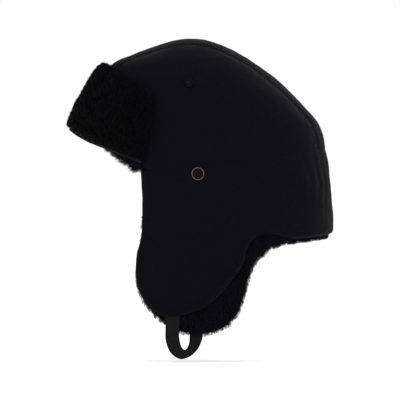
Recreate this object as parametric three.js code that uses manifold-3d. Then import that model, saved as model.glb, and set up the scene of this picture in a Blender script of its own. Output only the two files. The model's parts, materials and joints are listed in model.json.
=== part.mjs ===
// Trapper hat: a padded crown with a turned-up fur front flap, two hanging ear flaps with strap loops.
// Millimetres. The wearer looks along -X, the wearer's left is -Y, and +Z is up.
// The origin is inside the hat, on the middle plane, level with the temples: the middle of the head.

import * as THREE from 'three';
import { mergeVertices } from 'three/addons/utils/BufferGeometryUtils.js';
import Module from 'manifold-3d';

const wasm = await Module();
wasm.setup();

// ---------------------------------------------------------------- driving dimensions

// The hat's outer form, as level sections: [height, front x, back x, half width].
const SECTIONS = [
  [-205, -131, 121, 80],
  [-130, -131, 128, 87],
  [-65, -131, 132, 94],
  [-20, -132, 129, 97.5],
  [18, -133, 125, 98],
  [42, -133, 118.7, 96],
  [60, -125.5, 105.5, 92.5],
  [80, -115, 86.5, 86],
  [98, -104.5, 66, 77],
  [110, -98, 49.5, 68],
  [118, -80, 37, 59],
  [126, -60, 22, 47],
  [131, -43, 9, 34],
  [133.8, -32, -1, 20],
  [135, -24, -9, 10],
  [135.5, -16.5, -16.5, 0],
];
const ROUNDNESS = 2.3; // exponent of the level sections: 2 is an ellipse, more is squarer
const POINTS_AROUND = 32;

// Layers, measured inwards from the outer face. A minus sign is outside it.
const GAP = 0.3;
const HARDWARE_GAP = 0.5; // between a flat piece of hardware and the curved wall that it sits on
const SHELL = [0, 1.6];
const WADDING = [1.9, 5];
const LINING = [5.3, 6.6];
const FUR_LINING = [5.3, 13];
const FLAP_BACKING = [-2.4, -1];
const FLAP_FUR = [-14, -2.7];

// The front rim runs from each temple forwards and up, in one sloping plane.
const TEMPLE = new THREE.Vector3(-67, 0, -3);
const RIM_ANGLE = THREE.MathUtils.degToRad(34.7);
const RIM_BINDING = [0.6, 3];
const FLAP_HEIGHT = 70;
const FLAP_FACE = 95; // how far ahead of the temples the front flap reaches, along the rim
const FLAP_JOINTS_AT = [4, 50, 75]; // where the flap's pieces end, measured forwards from the temple
const FLAP_CLEARANCE = 0.6;

const CROWN_SEAM_BACK = new THREE.Vector2(125, 19);
const CENTRE_STRIP_HALF = 40;
const FOLD_HEIGHT = -57; // the line on which the ear flaps fold up
const FOLD_GAP = 3;

const EYELET = { x: -9.5, z: -6.3, outer: 6.8, hole: 3.9, barrel: 4.4, thick: 1.2 };
const BUTTON = { x: -19, z: 87, radius: 5, thick: 1.8, shank: 1.6, back: 4, tilt: THREE.MathUtils.degToRad(27) };
const WEBBING_THICK = 1.6;
const LOOP_PIVOT = new THREE.Vector3(-24, 75.5, -171.5);
const LOOP_TWIST = THREE.MathUtils.degToRad(23);
const LOOP_TOP = 5; // below the pivot
const ELASTIC = { inset: [2.4, 3.4], bottom: -14, top: -2, from: 70 };
const LABEL = { inset: [6.9, 7.4], bottom: 58, top: 84, half: 18 };

const FAR = 220; // beyond the hat on every side

// ---------------------------------------------------------------- materials

const cloth = (color) => new THREE.MeshStandardMaterial({ color, roughness: 0.9, metalness: 0 });
const materials = {
  shell: () => cloth(0x101014),
  fur: () => cloth(0x08080a),
  wadding: () => cloth(0xd8d6d0),
  lining: () => cloth(0x131317),
  webbing: () => cloth(0x1a191c),
  elastic: () => cloth(0x2a2a2c),
  label: () => cloth(0x1c1c20),
  brass: () => new THREE.MeshStandardMaterial({ color: 0x4a4238, roughness: 0.4, metalness: 0.9 }),
  button: () => new THREE.MeshStandardMaterial({ color: 0x0c0c0e, roughness: 0.5, metalness: 0.1 }),
};

// ---------------------------------------------------------------- solids

function solidOf(geometry) {
  geometry.deleteAttribute('normal');
  geometry.deleteAttribute('uv');
  const merged = mergeVertices(geometry, 1e-4);
  const mesh = new wasm.Mesh({
    numProp: 3,
    vertProperties: merged.attributes.position.array,
    triVerts: Uint32Array.from(merged.index.array),
  });
  return new wasm.Manifold(mesh);
}

function geometryOf(solid) {
  const mesh = solid.getMesh();
  const geometry = new THREE.BufferGeometry();
  geometry.setAttribute('position', new THREE.BufferAttribute(mesh.vertProperties, 3));
  geometry.setIndex(new THREE.BufferAttribute(mesh.triVerts, 1));
  return geometry;
}

/** A block with its side outline given in x and z, running across the hat from y0 to y1. */
function sideBlock(outline, y0 = -FAR, y1 = FAR) {
  const shape = new THREE.Shape(outline.map(([x, z]) => new THREE.Vector2(x, z)));
  const geometry = new THREE.ExtrudeGeometry(shape, { depth: y1 - y0, bevelEnabled: false });
  geometry.rotateX(Math.PI / 2);
  geometry.translate(0, y1, 0);
  return solidOf(geometry);
}

function box(x0, x1, y0, y1, z0, z1) {
  const geometry = new THREE.BoxGeometry(x1 - x0, y1 - y0, z1 - z0);
  geometry.translate((x0 + x1) / 2, (y0 + y1) / 2, (z0 + z1) / 2);
  return solidOf(geometry);
}

/** A turned piece: the profile is [radius, height] and closes on itself or on the axis. */
function turned(profile, steps = 16) {
  const points = profile.map(([r, h]) => new THREE.Vector2(r, h));
  return new THREE.LatheGeometry(points, steps);
}

/** A smooth outline through some points; its two ends are joined by a straight line. */
function smooth(points, steps) {
  const curve = new THREE.CatmullRomCurve3(points.map(([x, z]) => new THREE.Vector3(x, 0, z)));
  return curve.getPoints(steps).map((p) => [p.x, p.z]);
}

// ---------------------------------------------------------------- the hat's outer form

const lengthLine = new THREE.CatmullRomCurve3(
  SECTIONS.map(([z, front, back]) => new THREE.Vector3(front, back, z)), false, 'catmullrom', 0.5);
const widthLine = new THREE.CatmullRomCurve3(
  SECTIONS.map(([z, , , half]) => new THREE.Vector3(half, 0, z)), false, 'catmullrom', 0.5);

function sectionAt(t) {
  const length = lengthLine.getPoint(t);
  return {
    z: length.z,
    middle: (length.x + length.y) / 2,
    reach: Math.max((length.y - length.x) / 2, 0),
    half: Math.max(widthLine.getPoint(t).x, 0),
  };
}

function sectionAtHeight(z) {
  let low = 0;
  let high = 1;
  for (let i = 0; i < 40; i++) {
    const middle = (low + high) / 2;
    if (lengthLine.getPoint(middle).z < z) low = middle;
    else high = middle;
  }
  return sectionAt(low);
}

/** The outer form's half width at a place on the middle plane, on a face moved out by some distance. */
function halfWidthAt(x, z, out = 0) {
  const section = sectionAtHeight(z);
  const share = Math.abs(x - section.middle) / (section.reach + out);
  return (section.half + out) * Math.max(1 - share ** ROUNDNESS, 0) ** (1 / ROUNDNESS);
}

function formPoint(t, turn) {
  const { z, middle, reach, half } = sectionAt(t);
  const c = Math.cos(turn);
  const s = Math.sin(turn);
  const power = 2 / ROUNDNESS;
  return new THREE.Vector3(
    middle + reach * Math.sign(c) * Math.abs(c) ** power,
    half * Math.sign(s) * Math.abs(s) ** power,
    z,
  );
}

function formNormal(t, turn) {
  const dt = 1e-3;
  const da = 1e-2;
  const up = formPoint(Math.min(t + dt, 1), turn).sub(formPoint(Math.max(t - dt, 0), turn));
  const around = formPoint(t, turn + da).sub(formPoint(t, turn - da));
  return around.cross(up).normalize();
}

/** The whole outer form as a solid, with its face moved inwards by inset. */
function form(inset) {
  const rings = SECTIONS.length - 1;
  const positions = [];
  const index = [];
  for (let j = 0; j < rings; j++) {
    const t = j / rings;
    for (let i = 0; i < POINTS_AROUND; i++) {
      const turn = (i / POINTS_AROUND) * 2 * Math.PI;
      const p = formPoint(t, turn).addScaledVector(formNormal(t, turn), -inset);
      positions.push(p.x, p.y, p.z);
    }
  }
  const pole = positions.length / 3;
  const [bottomZ] = SECTIONS[0];
  const [topZ, topX] = SECTIONS[SECTIONS.length - 1];
  positions.push(topX, 0, topZ - inset, 0, 0, bottomZ);
  for (let i = 0; i < POINTS_AROUND; i++) {
    const next = (i + 1) % POINTS_AROUND;
    for (let j = 0; j < rings - 1; j++) {
      const a = j * POINTS_AROUND + i;
      const b = j * POINTS_AROUND + next;
      index.push(a, b, b + POINTS_AROUND, a, b + POINTS_AROUND, a + POINTS_AROUND);
    }
    const last = (rings - 1) * POINTS_AROUND;
    index.push(last + i, last + next, pole);
    index.push(next, i, pole + 1);
  }
  const geometry = new THREE.BufferGeometry();
  geometry.setAttribute('position', new THREE.Float32BufferAttribute(positions, 3));
  geometry.setIndex(index);
  return solidOf(geometry);
}

const forms = new Map();

/** The skin between two depths below the outer face. */
function layer([from, to]) {
  for (const inset of [from, to]) {
    if (!forms.has(inset)) forms.set(inset, form(inset));
  }
  return forms.get(from).subtract(forms.get(to));
}

// ---------------------------------------------------------------- side outlines

/** A place in the side view, given along the rim forwards from the temple and square up from it. */
function fromRim(along, up) {
  const c = Math.cos(RIM_ANGLE);
  const s = Math.sin(RIM_ANGLE);
  return [TEMPLE.x - along * c + up * s, TEMPLE.z + along * s + up * c];
}

function seamHeight(x) {
  const slope = (CROWN_SEAM_BACK.y - TEMPLE.z) / (CROWN_SEAM_BACK.x - TEMPLE.x);
  return TEMPLE.z + (x - TEMPLE.x) * slope;
}

/** Everything above the rim and the crown seam, starting some distance above the rim. */
function aboveRim(up) {
  const [templeX] = fromRim(0, up);
  return [
    fromRim(FAR, up),
    [templeX, seamHeight(templeX) + GAP + up],
    [templeX + 0.1, seamHeight(templeX) + GAP / 2],
    [FAR, seamHeight(FAR) + GAP / 2],
    [FAR, FAR],
    [-FAR, FAR],
  ];
}

const NAPE_EDGE = [[57, FOLD_HEIGHT + FOLD_GAP / 2], [64, -85], [86, -80.5], [108, -75], [FAR, -46]];

/** The neck piece, from the crown seam down to the ear flaps' fold and the nape edge. */
const NECK = [
  [-66, seamHeight(-66) - GAP / 2],
  [-65, FOLD_HEIGHT + FOLD_GAP / 2],
  ...NAPE_EDGE,
  [FAR, seamHeight(FAR) - GAP / 2],
];

const FLAP_TOP = FOLD_HEIGHT - FOLD_GAP / 2;

const EAR_FLAP_FUR = smooth([
  [-65, FLAP_TOP], [-66, -75], [-71, -92], [-74, -110], [-73, -123], [-66, -137.5], [-55, -151], [-42, -162],
  [-28, -169], [-8, -171], [10, -166], [24, -157], [33, -145], [39, -130], [42.5, -114], [49, -98.5],
  [60, -88.5], [55, FLAP_TOP],
], 40);

const EAR_FLAP_SHELL = smooth([
  [-64.5, FLAP_TOP], [-65.5, -75], [-70, -92], [-72.5, -110], [-71.5, -122], [-65, -135], [-54, -147],
  [-38, -154.5], [-18, -150], [6, -139], [25, -121.5], [37, -106], [48, -95.5], [58.5, -88], [54.5, FLAP_TOP],
], 36);

const EAR_FLAP_WADDING = smooth([
  [-61, FLAP_TOP], [-62, -75], [-66, -92], [-68, -110], [-66, -121], [-60, -132], [-50, -142],
  [-38, -149], [-18, -145], [4, -134], [22, -117], [33, -103], [43, -93], [53, -85.5], [50, FLAP_TOP],
], 30);

/** The front flap seen from the side, with its rounded back corner. */
const FRONT_FLAP = [
  fromRim(FLAP_JOINTS_AT[0], RIM_BINDING[0]),
  fromRim(12, 18),
  fromRim(21, 36),
  fromRim(31, 56),
  fromRim(37, 65),
  fromRim(46, FLAP_HEIGHT),
  fromRim(FLAP_FACE - 7, FLAP_HEIGHT),
  fromRim(FLAP_FACE - 2, FLAP_HEIGHT - 3),
  fromRim(FLAP_FACE, FLAP_HEIGHT - 9),
  fromRim(FLAP_FACE, RIM_BINDING[0]),
];

// ---------------------------------------------------------------- hinge lines of the front flap

/** The rim's outer edge at a distance forwards of the temple, on one side of the hat. */
function rimEdge(along, side) {
  const [x, z] = fromRim(along, 0);
  return new THREE.Vector3(x, side * halfWidthAt(x, z, -FLAP_BACKING[1]), z);
}

/** The five flap pieces from the wearer's left temple round to the right, as pairs of hinge ends. */
function flapHinges() {
  const left = FLAP_JOINTS_AT.map((along) => rimEdge(along, -1));
  const right = FLAP_JOINTS_AT.map((along) => rimEdge(along, 1)).reverse();
  const ends = [...left, ...right];
  const names = ['wing_left', 'side_left', 'centre', 'side_right', 'wing_right'];
  return names.map((name, i) => ({ name, from: ends[i], to: ends[i + 1], before: ends[i - 1], after: ends[i + 2] }));
}

/** How steeply one end of a flap piece is cut back: half the corner to its neighbour, or square across the hat. */
function cutBack(along, neighbour) {
  const c = Math.cos(RIM_ANGLE);
  const rimLine = new THREE.Vector3(Math.sign(along.x) * c, 0, -Math.sign(along.x) * Math.sin(RIM_ANGLE));
  return Math.tan(neighbour ? along.angleTo(neighbour) / 2 : along.angleTo(rimLine));
}

/** The wedge that one flap piece fills, cut back at both ends so that neighbours clear when folded down. */
function flapWedge({ from, to, before, after }) {
  const along = to.clone().sub(from);
  const length = along.length();
  const up = new THREE.Vector3(Math.sin(RIM_ANGLE), 0, Math.cos(RIM_ANGLE));
  const out = along.clone().normalize().cross(up).multiplyScalar(-1);
  const startSlope = cutBack(along, before && from.clone().sub(before));
  const endSlope = cutBack(along, after && after.clone().sub(to));
  const depth = 60;
  const inner = 8;
  const corners = [
    [FLAP_CLEARANCE, -inner],
    [length - FLAP_CLEARANCE, -inner],
    [length - FLAP_CLEARANCE, 0],
    [length - FLAP_CLEARANCE - depth * endSlope, depth],
    [FLAP_CLEARANCE + depth * startSlope, depth],
    [FLAP_CLEARANCE, 0],
  ];
  const shape = new THREE.Shape(trimCrossing(corners).map(([a, b]) => new THREE.Vector2(a, b)));
  const geometry = new THREE.ExtrudeGeometry(shape, { depth: 2 * FAR, bevelEnabled: false });
  geometry.translate(0, 0, -FAR);
  const place = new THREE.Matrix4().makeBasis(along.clone().normalize(), out, up);
  if (place.determinant() < 0) throw new Error('the flap wedge is inside out');
  place.setPosition(from);
  geometry.applyMatrix4(place);
  return solidOf(geometry);
}

/** Ends a wedge at the point where its two slanted sides would cross. */
function trimCrossing(corners) {
  const [a, b, rightLow, rightFar, leftFar, leftLow] = corners;
  if (leftFar[0] < rightFar[0]) return corners;
  const share = (rightLow[0] - leftLow[0]) / (rightLow[0] - leftLow[0] + leftFar[0] - rightFar[0]);
  const tip = [leftLow[0] + (leftFar[0] - leftLow[0]) * share, leftFar[1] * share];
  return [a, b, rightLow, tip, leftLow];
}

// ---------------------------------------------------------------- pieces

const hat = new THREE.Group();

function add(name, geometry, material) {
  const mesh = new THREE.Mesh(geometry, material());
  mesh.name = name;
  hat.add(mesh);
  return mesh;
}

const addSolid = (name, solid, material) => add(name, geometryOf(solid), material);

const SIDES = [['left', -1], ['right', 1]];
const half = (side) => (side < 0 ? [-FAR, -0.1] : [0.1, FAR]);

/** How far out the hat's faceted side wall stands at one place in the side view. */
function wallFace(x, z) {
  const needle = box(x - 0.1, x + 0.1, 0, FAR, z - 0.1, z + 0.1);
  return form(0).intersect(needle).boundingBox().max[1];
}

/** Turns a piece made along +Z so that it points out of the hat's side, tilted up by some angle. */
function pointOut(mesh, side, x, y, z, tilt = 0) {
  mesh.position.set(x, side * y, z);
  mesh.rotation.x = side * (tilt - Math.PI / 2);
  return mesh;
}

/** A round plug through the hat's side wall, for cutting holes. */
function plug(radius, side, { x, z, tilt = 0 }) {
  const geometry = new THREE.CylinderGeometry(radius, radius, 40, 20);
  geometry.rotateX(Math.PI / 2);
  geometry.applyMatrix4(new THREE.Matrix4().makeRotationX(side * (tilt - Math.PI / 2)));
  geometry.translate(x, side * halfWidthAt(x, z), z);
  return solidOf(geometry);
}

function cutForHardware(solid, piece, radius) {
  return SIDES.reduce((left, [, side]) => left.subtract(plug(radius, side, piece)), solid);
}

function addCrown() {
  const above = sideBlock(aboveRim(RIM_BINDING[1] + GAP));
  const shell = cutForHardware(layer(SHELL).intersect(above), BUTTON, BUTTON.shank + GAP);
  const edge = CENTRE_STRIP_HALF;
  addSolid('crown_centre_strip', shell.intersect(box(-FAR, FAR, -edge, edge, -FAR, FAR)), materials.shell);
  for (const [word, side] of SIDES) {
    const [y0, y1] = side < 0 ? [-FAR, -edge - GAP] : [edge + GAP, FAR];
    addSolid(`crown_side_panel_${word}`, shell.intersect(box(-FAR, FAR, y0, y1, -FAR, FAR)), materials.shell);
  }
  const wadding = cutForHardware(layer(WADDING).intersect(above), BUTTON, BUTTON.back + 1);
  addSolid('crown_wadding', wadding, materials.wadding);
}

const FUR_TOP = [[FAR, 28], [-40, 34], [-75, 46], [-FAR, 128]];

function addLinings() {
  const lining = layer(LINING).intersect(sideBlock([[FAR, FAR], [-FAR, FAR], ...[...FUR_TOP].reverse()]
    .map(([x, z]) => [x, z === FAR ? z : z + GAP])));
  addSolid('crown_lining', lining, materials.lining);
  const band = [
    fromRim(FAR, RIM_BINDING[1] + GAP),
    fromRim(0, RIM_BINDING[1] + GAP),
    ...NECK.slice(1, -1),
    ...FUR_TOP,
  ];
  addSolid('fur_lining_band', layer(FUR_LINING).intersect(sideBlock(band)), materials.fur);
  const { inset, bottom, top, half: reach } = LABEL;
  addSolid('blank_size_label', layer(inset).intersect(box(0, FAR, -reach, reach, bottom, top)), materials.label);
}

function addRimBinding() {
  const [low, high] = RIM_BINDING;
  const strip = [fromRim(1, low), fromRim(1, high), fromRim(FAR, high), fromRim(FAR, low)];
  const solid = layer([SHELL[0], FUR_LINING[1]]).intersect(sideBlock(strip));
  addSolid('front_rim_binding', solid, materials.shell);
}

function addNeck() {
  const neck = sideBlock(NECK);
  const shell = cutForHardware(layer(SHELL).intersect(neck), EYELET, EYELET.barrel + GAP);
  addSolid('neck_band_shell', shell, materials.shell);
  const { inset, bottom, top, from } = ELASTIC;
  const channel = layer([SHELL[1], inset[1] + GAP])
    .intersect(box(from - 1, FAR, -FAR, FAR, bottom - GAP, top + GAP));
  const wadding = layer(WADDING).intersect(neck).subtract(channel);
  addSolid('neck_band_wadding', cutForHardware(wadding, EYELET, EYELET.outer + 1), materials.wadding);
  addSolid('neck_elastic', layer(inset).intersect(box(from, FAR, -FAR, FAR, bottom, top)), materials.elastic);
}

function addEyelets() {
  const { x, z, outer, hole, barrel, thick } = EYELET;
  const face = wallFace(x, z);
  const top = -WADDING[0] - HARDWARE_GAP;
  const bottom = top - 0.8;
  const low = HARDWARE_GAP;
  const flange = [
    [hole, bottom], [barrel, bottom], [barrel, low], [outer, low], [outer, low + thick * 0.4],
    [outer - 0.7, low + thick], [hole + 0.5, low + thick], [hole, low + thick * 0.5], [hole, bottom],
  ];
  const washer = [
    [barrel + GAP, bottom], [outer, bottom], [outer, top], [barrel + GAP, top], [barrel + GAP, bottom],
  ];
  for (const [word, side] of SIDES) {
    const ring = add(`vent_eyelet_${word}`, alongZ(turned(flange)), materials.brass);
    pointOut(ring, side, x, face, z);
    const back = add(`vent_eyelet_washer_${word}`, alongZ(turned(washer)), materials.brass);
    pointOut(back, side, x, face, z);
  }
}

function alongZ(geometry) {
  geometry.rotateX(Math.PI / 2);
  return geometry;
}

function addButtons() {
  const { x, z, radius, thick, shank, back, tilt } = BUTTON;
  const face = wallFace(x, z);
  const low = HARDWARE_GAP;
  const cap = [[0, low], [radius, low], [radius, low + thick * 0.5], [radius - 0.8, low + thick], [0, low + thick]];
  const inner = -WADDING[0] - 0.4;
  const post = [[0, inner - 0.7], [back, inner - 0.7], [back, inner], [shank, inner], [shank, low - GAP], [0, low - GAP]];
  for (const [word, side] of SIDES) {
    pointOut(add(`loop_button_cap_${word}`, alongZ(turned(cap)), materials.button), side, x, face, z, tilt);
    pointOut(add(`loop_button_post_${word}`, alongZ(turned(post)), materials.brass), side, x, face, z, tilt);
  }
}

function addFrontFlap() {
  const side = sideBlock(FRONT_FLAP);
  const backing = layer(FLAP_BACKING).intersect(side);
  const fur = layer(FLAP_FUR).intersect(side);
  for (const hinge of flapHinges()) {
    const wedge = flapWedge(hinge);
    addSolid(`front_flap_backing_${hinge.name}`, backing.intersect(wedge), materials.shell);
    addSolid(`front_flap_fur_${hinge.name}`, fur.intersect(wedge), materials.fur);
  }
}

function addEarFlaps() {
  for (const [word, side] of SIDES) {
    const [y0, y1] = half(side);
    const cut = (depths, outline) => layer(depths).intersect(sideBlock(outline, y0, y1));
    addSolid(`ear_flap_shell_${word}`, cut(SHELL, EAR_FLAP_SHELL), materials.shell);
    addSolid(`ear_flap_wadding_${word}`, cut(WADDING, EAR_FLAP_WADDING), materials.wadding);
    addSolid(`ear_flap_fur_${word}`, cut(FUR_LINING, EAR_FLAP_FUR), materials.fur);
  }
}

/** The strap loop's outline about its pivot: two limbs joined by a rounded bottom, open at the top. */
function loopOutline() {
  const shape = new THREE.Shape();
  shape.moveTo(-21, -LOOP_TOP);
  shape.bezierCurveTo(-20, -16, -14, -25, -3.5, -27.5);
  shape.bezierCurveTo(8, -27.5, 18, -18, 20.5, -LOOP_TOP);
  shape.lineTo(6, -LOOP_TOP);
  shape.bezierCurveTo(5.5, -12, 5, -19, 2, -20.5);
  shape.bezierCurveTo(-2, -19, -5, -12, -6.5, -LOOP_TOP);
  shape.closePath();
  return shape;
}

function addStrapLoops() {
  for (const [word, side] of SIDES) {
    const settings = { depth: WEBBING_THICK, bevelEnabled: false, curveSegments: 7 };
    const geometry = new THREE.ExtrudeGeometry(loopOutline(), settings);
    geometry.translate(0, 0, -WEBBING_THICK / 2);
    geometry.rotateX(Math.PI / 2);
    geometry.rotateZ(-side * LOOP_TWIST);
    const loop = add(`strap_loop_${word}`, geometry, materials.webbing);
    loop.position.set(LOOP_PIVOT.x, side * LOOP_PIVOT.y, LOOP_PIVOT.z);
    const [y0, y1] = half(side);
    const outer = sideBlock([[-43, -156], [-28, -158], [-29, -170.5], [-44, -170.5]], y0, y1);
    addSolid(`strap_tab_outer_${word}`, layer([3.2, 4.8]).intersect(outer), materials.webbing);
    const inner = sideBlock([[-18, -150], [-5, -150], [-5, -170.5], [-18, -170.5]], y0, y1);
    addSolid(`strap_tab_inner_${word}`, layer([13.4, 15]).intersect(inner), materials.webbing);
  }
}

addCrown();
addLinings();
addRimBinding();
addNeck();
addEyelets();
addButtons();
addFrontFlap();
addEarFlaps();
addStrapLoops();

export default hat;
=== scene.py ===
"""Looks for the trapper hat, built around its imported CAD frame. Metres; the wearer looks along -X."""

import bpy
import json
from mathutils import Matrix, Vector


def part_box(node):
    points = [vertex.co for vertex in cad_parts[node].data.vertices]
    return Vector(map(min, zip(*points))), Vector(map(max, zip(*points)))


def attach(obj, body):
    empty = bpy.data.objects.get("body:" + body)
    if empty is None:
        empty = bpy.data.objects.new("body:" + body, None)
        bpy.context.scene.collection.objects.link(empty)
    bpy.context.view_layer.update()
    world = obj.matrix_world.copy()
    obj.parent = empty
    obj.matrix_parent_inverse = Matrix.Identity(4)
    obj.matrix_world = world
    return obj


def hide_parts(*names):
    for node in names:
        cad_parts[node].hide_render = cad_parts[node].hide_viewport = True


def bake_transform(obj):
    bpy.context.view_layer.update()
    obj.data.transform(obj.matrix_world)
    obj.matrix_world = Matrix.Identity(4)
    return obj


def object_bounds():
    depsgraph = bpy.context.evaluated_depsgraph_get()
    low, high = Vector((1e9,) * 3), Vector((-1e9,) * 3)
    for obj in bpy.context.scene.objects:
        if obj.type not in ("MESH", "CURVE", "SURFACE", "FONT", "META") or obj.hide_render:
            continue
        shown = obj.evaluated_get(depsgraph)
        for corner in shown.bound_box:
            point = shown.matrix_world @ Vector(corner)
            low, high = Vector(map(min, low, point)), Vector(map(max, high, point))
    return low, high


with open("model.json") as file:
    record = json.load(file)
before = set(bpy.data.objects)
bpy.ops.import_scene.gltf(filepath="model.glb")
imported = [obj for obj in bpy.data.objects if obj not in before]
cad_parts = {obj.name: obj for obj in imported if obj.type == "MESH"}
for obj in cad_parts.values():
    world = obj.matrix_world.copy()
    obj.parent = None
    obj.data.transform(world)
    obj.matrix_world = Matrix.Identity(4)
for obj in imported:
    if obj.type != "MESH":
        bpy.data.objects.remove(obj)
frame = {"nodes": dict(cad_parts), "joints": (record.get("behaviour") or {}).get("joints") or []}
CAD_BOX = [list(corner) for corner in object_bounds()]

import json
import math
from contextlib import contextmanager

import bmesh
import bpy
import numpy as np
from mathutils import Matrix, Vector, noise
from mathutils.kdtree import KDTree

MM = 0.001
SIDES = (("left", -1), ("right", 1))
JOINT_PLACES = {joint["name"]: joint["pos_m"] for joint in frame["joints"]}

# ---- driving dimensions

# The hat's outer form, as level sections in mm: height, front x, back x, half width.
SECTIONS = (
    (-205, -131, 121, 80), (-130, -131, 128, 87), (-65, -131, 132, 94), (-20, -132, 129, 97.5),
    (18, -133, 125, 98), (42, -133, 118.7, 96), (60, -125.5, 105.5, 92.5), (80, -115, 86.5, 86),
    (98, -104.5, 66, 77), (110, -98, 49.5, 68), (118, -80, 37, 59), (126, -60, 22, 47),
    (131, -43, 9, 34), (133.8, -32, -1, 20), (135, -24, -9, 10), (135.5, -16.5, -16.5, 0),
)
ROUNDNESS = 2.3  # the sections' roundness: 2 would be an ellipse
CLOTH = 1.6 * MM

TEMPLE = np.array((-67, 0, -3)) * MM
RIM_ANGLE = math.radians(34.7)
RIM_FORWARD = np.array((-math.cos(RIM_ANGLE), 0, math.sin(RIM_ANGLE)))
RIM_UP = np.array((math.sin(RIM_ANGLE), 0, math.cos(RIM_ANGLE)))
SEAM_BACK = np.array((125, 0, 19)) * MM
STRIP_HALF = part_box("crown_centre_strip")[1].y

FLAP_JOINTS_AT = (4 * MM, 50 * MM, 75 * MM)
FLAP_FACE = 98.2 * MM  # how far ahead of the temples the front flap's skin reaches, along the rim
FLAP_PUFF = 3.4 * MM  # how much further it bulges near its top

FOLD = JOINT_PLACES["ear_flap_left_fold"][2]
CUFF = FOLD + 5 * MM  # where the neck's cloth hands over to the ear flaps' cloth, just above the fold
EDGE_X = -68.9 * MM  # the neck's front edge, just behind the temples
CUFF_END_X = 57.9 * MM  # where the neck's lower edge leaves the ear flap and becomes the free nape hem
NAPE_X = np.array((-70, 57.8, 58.6, 66, 76, 90, 108, 132)) * MM
NAPE_Z = np.array((CUFF / MM - 3, CUFF / MM - 3, -69.6, -69.0, -70.6, -74.4, -73.6, -70.2)) * MM
FUR_NAPE_X = np.array((-70, 57.8, 58.6, 66, 86, 108, 132)) * MM
FUR_NAPE_Z = np.array((FOLD / MM - 2, FOLD / MM - 2, -86, -83.5, -77.8, -75, -70.4)) * MM

# Ear flap outlines in the side view, as (x, z) in mm.
EAR_SHELL = (
    (-68.9, CUFF / MM + 0.6), (-69.8, -72), (-73.8, -88), (-75.2, -98), (-75.8, -110), (-74.4, -122),
    (-71.4, -130), (-66.5, -138.5), (-59, -147), (-50, -153), (-38, -156), (-18, -151.5), (-4, -146),
    (8, -137.5), (21.5, -123), (33, -108.5), (39, -98), (41, -88), (45, -79), (51, -73), (58.2, -69.6),
    (58.3, -60), (58.2, CUFF / MM + 0.6),
)
EAR_FUR = (
    (-68, FOLD / MM + 7), (-70, -75), (-74, -90), (-75.8, -110), (-74.8, -123), (-70, -136), (-59.5, -149.5),
    (-46, -161.5), (-30, -170.5), (-8, -173.5), (8, -171), (22, -163.8), (30.5, -155.5), (35, -147),
    (38, -138.6), (40.5, -130), (42.5, -122), (45, -113.5), (48.5, -105), (54, -96), (63, -86.5), (61, -70),
    (57, FOLD / MM + 7),
)
EAR_CENTRE = np.array((-8, -82)) * MM  # both outlines are star-shaped about it


# ---- lines and numbers

def unit(v):
    return v / np.maximum(np.linalg.norm(v, axis=-1, keepdims=True), 1e-12)


def smooth_step(value):
    value = np.clip(value, 0, 1)
    return value * value * (3 - 2 * value)


def ease(distance, reach):
    """Rises smoothly from 0 to 1 over this many mm."""
    return smooth_step(distance / (reach * MM))


def bell(distance, width):
    """1 at no distance, falling smoothly to 0; the width is in mm."""
    return np.exp(-((distance / (width * MM)) ** 2))


def signed_power(value, power):
    """A power that keeps the sign, which squares off a round section when the power is under 1."""
    return np.sign(value) * np.abs(value) ** power


def ring_of(count):
    return np.linspace(0, 2 * math.pi, count, endpoint=False)


def vector(place):
    """A place of two or three numbers as a Vector; a missing third is 0."""
    return Vector((*place, 0)[:3])


def tuft_noise(points, grain):
    """A smooth random value at each point, -1 to 1, with features of about this size."""
    flat = points.reshape(-1, points.shape[-1]) / grain
    return np.array([noise.noise(vector(p)) for p in flat]).reshape(points.shape[:-1])


def nearest(places, wanted):
    """For each wanted place, the number of the nearest of some places, and how far off that is."""
    tree = KDTree(len(places))
    for i, place in enumerate(places):
        tree.insert(vector(place), i)
    tree.balance()
    found = [tree.find(vector(place)) for place in wanted]
    return [f[1] for f in found], np.array([f[2] for f in found])


def length_along(line):
    """How far along a line of points each one lies."""
    return np.concatenate([[0], np.cumsum(np.linalg.norm(np.diff(line, axis=0), axis=1))])


def at_lengths(line, far, wanted):
    return np.stack([np.interp(wanted, far, values) for values in line.T], -1)


def spline(values, t):
    """Points on the smooth line through evenly spaced values, for t from 0 to 1."""
    values = np.asarray(values, float)
    count = len(values) - 1
    place = np.clip(t, 0, 1) * count
    i = np.minimum(place.astype(int), count - 1)
    f = (place - i)[..., None]
    ends = np.vstack([2 * values[0] - values[1], values, 2 * values[-1] - values[-2]])
    a, b, c, d = (ends[i + k] for k in range(4))
    return 0.5 * (2 * b + (c - a) * f + (2 * a - 5 * b + 4 * c - d) * f**2 + (3 * b - a - 3 * c + d) * f**3)


# ---- the hat's outer form

def section(t):
    z, front, back, half = np.moveaxis(spline(SECTIONS, t), -1, 0) * MM
    return z, (front + back) / 2, np.maximum((back - front) / 2, 1e-6), np.maximum(half, 1e-6)


def form(t, turn, out=0.0):
    """Points on the hat's outer form, moved outwards; t runs from the bottom to the top, turn goes round."""
    t, turn = np.broadcast_arrays(np.asarray(t, float), np.asarray(turn, float))
    z, middle, reach, half = section(t)
    x = middle + reach * signed_power(np.cos(turn), 2 / ROUNDNESS)
    y = half * signed_power(np.sin(turn), 2 / ROUNDNESS)
    return np.stack([x, y, z], -1) + form_normal(t, turn) * np.asarray(out)[..., None]


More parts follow.
